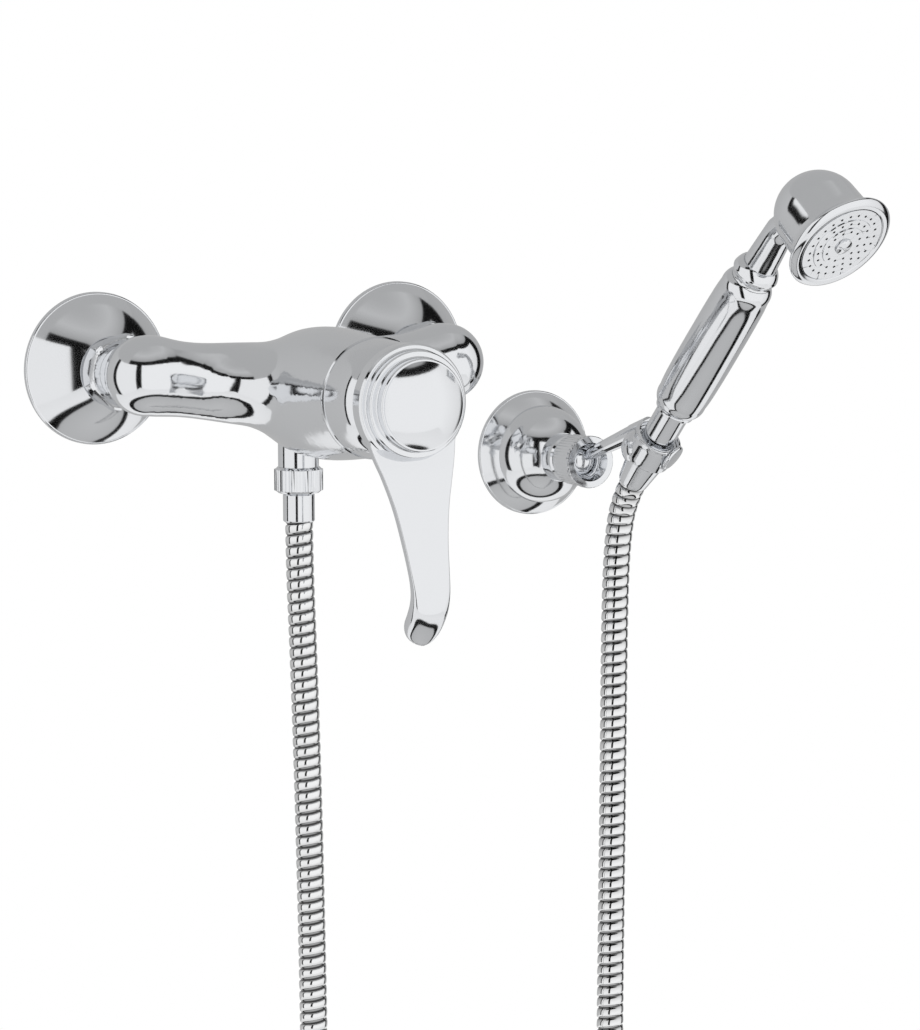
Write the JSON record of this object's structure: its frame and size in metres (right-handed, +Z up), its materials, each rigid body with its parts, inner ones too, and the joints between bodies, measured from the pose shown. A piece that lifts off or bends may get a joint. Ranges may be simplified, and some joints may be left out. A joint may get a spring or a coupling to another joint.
{
  "type": "shower mixer",
  "caption": "Wall-mounted single-lever shower mixer with two eccentric inlets, a ribbed metal hose, a swivel ball bracket and a hand spray.",
  "frame": {"origin": "on the finished wall's face, midway between the two inlets, at the height of the inlet nuts' axes", "axes": "+Y into the wall (the object stands out toward -Y), +X along the wall to the right as one faces it, +Z up"},
  "size_m": [0.3048, 0.2529, 0.6815],
  "materials": {
    "polished_chrome": "polished",
    "raw_brass": "machined",
    "white_ceramic": "lapped ceramic",
    "black_rubber": "matte",
    "grey_plastic": "moulded",
    "white_plastic": "moulded",
    "zinc_steel": "zinc plated"
  },
  "bodies": {
    "mixer": {"eccentric_union_left": "raw_brass", "eccentric_union_right": "raw_brass", "escutcheon_left": "polished_chrome", "escutcheon_right": "polished_chrome", "union_nut_left": "polished_chrome", "union_nut_right": "polished_chrome", "inlet_washer_left": "black_rubber", "inlet_washer_right": "black_rubber", "check_valve_left": "grey_plastic", "check_valve_right": "grey_plastic", "mixer_body": "polished_chrome", "cartridge_base": "grey_plastic", "ceramic_disc_fixed": "white_ceramic", "cartridge_housing": "grey_plastic", "cartridge_nut": "raw_brass", "dome_shroud": "polished_chrome", "outlet_nipple": "polished_chrome", "hose_nut": "polished_chrome", "hose_washer_mixer": "black_rubber", "hose_tail_mixer": "raw_brass", "hose_ferrule": "polished_chrome", "hose": "polished_chrome", "bracket_flange": "polished_chrome", "bracket_plate": "zinc_steel", "bracket_socket": "polished_chrome", "wall_screw_left": "zinc_steel", "wall_screw_right": "zinc_steel", "wall_plug_left": "grey_plastic", "wall_plug_right": "grey_plastic", "bracket_ring_nut": "polished_chrome"},
    "cartridge_turret": {"cartridge_collar": "white_plastic", "cartridge_pin": "zinc_steel"},
    "lever_set": {"lever": "polished_chrome", "lever_button": "polished_chrome", "lever_screw": "zinc_steel", "cartridge_stem": "raw_brass"},
    "valve_slider": {"ceramic_disc_moving": "white_ceramic"},
    "closer_left": {"check_poppet_left": "white_plastic"},
    "closer_right": {"check_poppet_right": "white_plastic"},
    "bracket_seat": {"ball_seat": "white_plastic"},
    "bracket_ball": {"swivel_ball": "polished_chrome"},
    "bracket_arm": {"holder_arm": "polished_chrome", "holder": "polished_chrome", "holder_screw": "polished_chrome"},
    "hose_end": {"hose_tail_handset": "raw_brass"},
    "handset": {"conical_nut": "polished_chrome", "hose_washer_handset": "black_rubber", "handset_inlet": "polished_chrome", "flow_regulator": "white_plastic", "handset_grip": "polished_chrome", "handset_tube": "grey_plastic", "handset_collar": "polished_chrome", "handset_head": "polished_chrome", "spray_bezel": "polished_chrome", "spray_rose": "polished_chrome", "spray_screw": "polished_chrome", "spray_gasket": "black_rubber", "spray_spreader": "grey_plastic"}
  },
  "joints": [
    {"name": "lever_turn", "type": "hinge", "parent": "mixer", "child": "cartridge_turret", "pos_m": [0, -0.115, -0.0074], "axis": [0, -1, 0], "range_deg": [-45, 45]},
    {"name": "lever_lift", "type": "hinge", "parent": "cartridge_turret", "child": "lever_set", "pos_m": [0, -0.115, -0.0074], "axis": [-1, 0, 0], "range_deg": [0, 20]},
    {"name": "disc_slide", "type": "slide", "parent": "cartridge_turret", "child": "valve_slider", "axis": [0, 0, -1], "range_m": [0, 0.0042]},
    {"name": "closer_left_slide", "type": "slide", "parent": "mixer", "child": "closer_left", "axis": [0, -1, 0], "range_m": [0, 0.002], "stiffness_N_per_m": 60, "springref_m": -0.002},
    {"name": "closer_right_slide", "type": "slide", "parent": "mixer", "child": "closer_right", "axis": [0, -1, 0], "range_m": [0, 0.002], "stiffness_N_per_m": 60, "springref_m": -0.002},
    {"name": "bracket_spin", "type": "hinge", "parent": "mixer", "child": "bracket_seat", "pos_m": [0.1471, -0.042, -0.0486], "axis": [0, -1, 0], "range_deg": [-60, 60], "deforming": ["hose"]},
    {"name": "bracket_tilt", "type": "hinge", "parent": "bracket_seat", "child": "bracket_ball", "pos_m": [0.1471, -0.042, -0.0486], "axis": [0.9378, 0, -0.3472], "range_deg": [-2, 44], "deforming": ["hose"]},
    {"name": "arm_turn", "type": "hinge", "parent": "bracket_ball", "child": "bracket_arm", "pos_m": [0.1471, -0.042, -0.0486], "axis": [0.1303, -0.9269, 0.3518], "range_deg": [-60, 60], "deforming": ["hose"]},
    {"name": "handset_lift", "type": "slide", "parent": "bracket_arm", "child": "hose_end", "axis": [0.0906, -0.6444, 0.7593], "range_m": [0, 0.06], "deforming": ["hose"]},
    {"name": "handset_turn", "type": "hinge", "parent": "hose_end", "child": "handset", "pos_m": [0.15457, -0.09518, -0.0392], "axis": [0.0906, -0.6444, 0.7593], "continuous": true}
  ],
  "couplings": [
    {"joint": "disc_slide", "follows": "lever_lift", "m_per_rad": 0.0117}
  ]
}
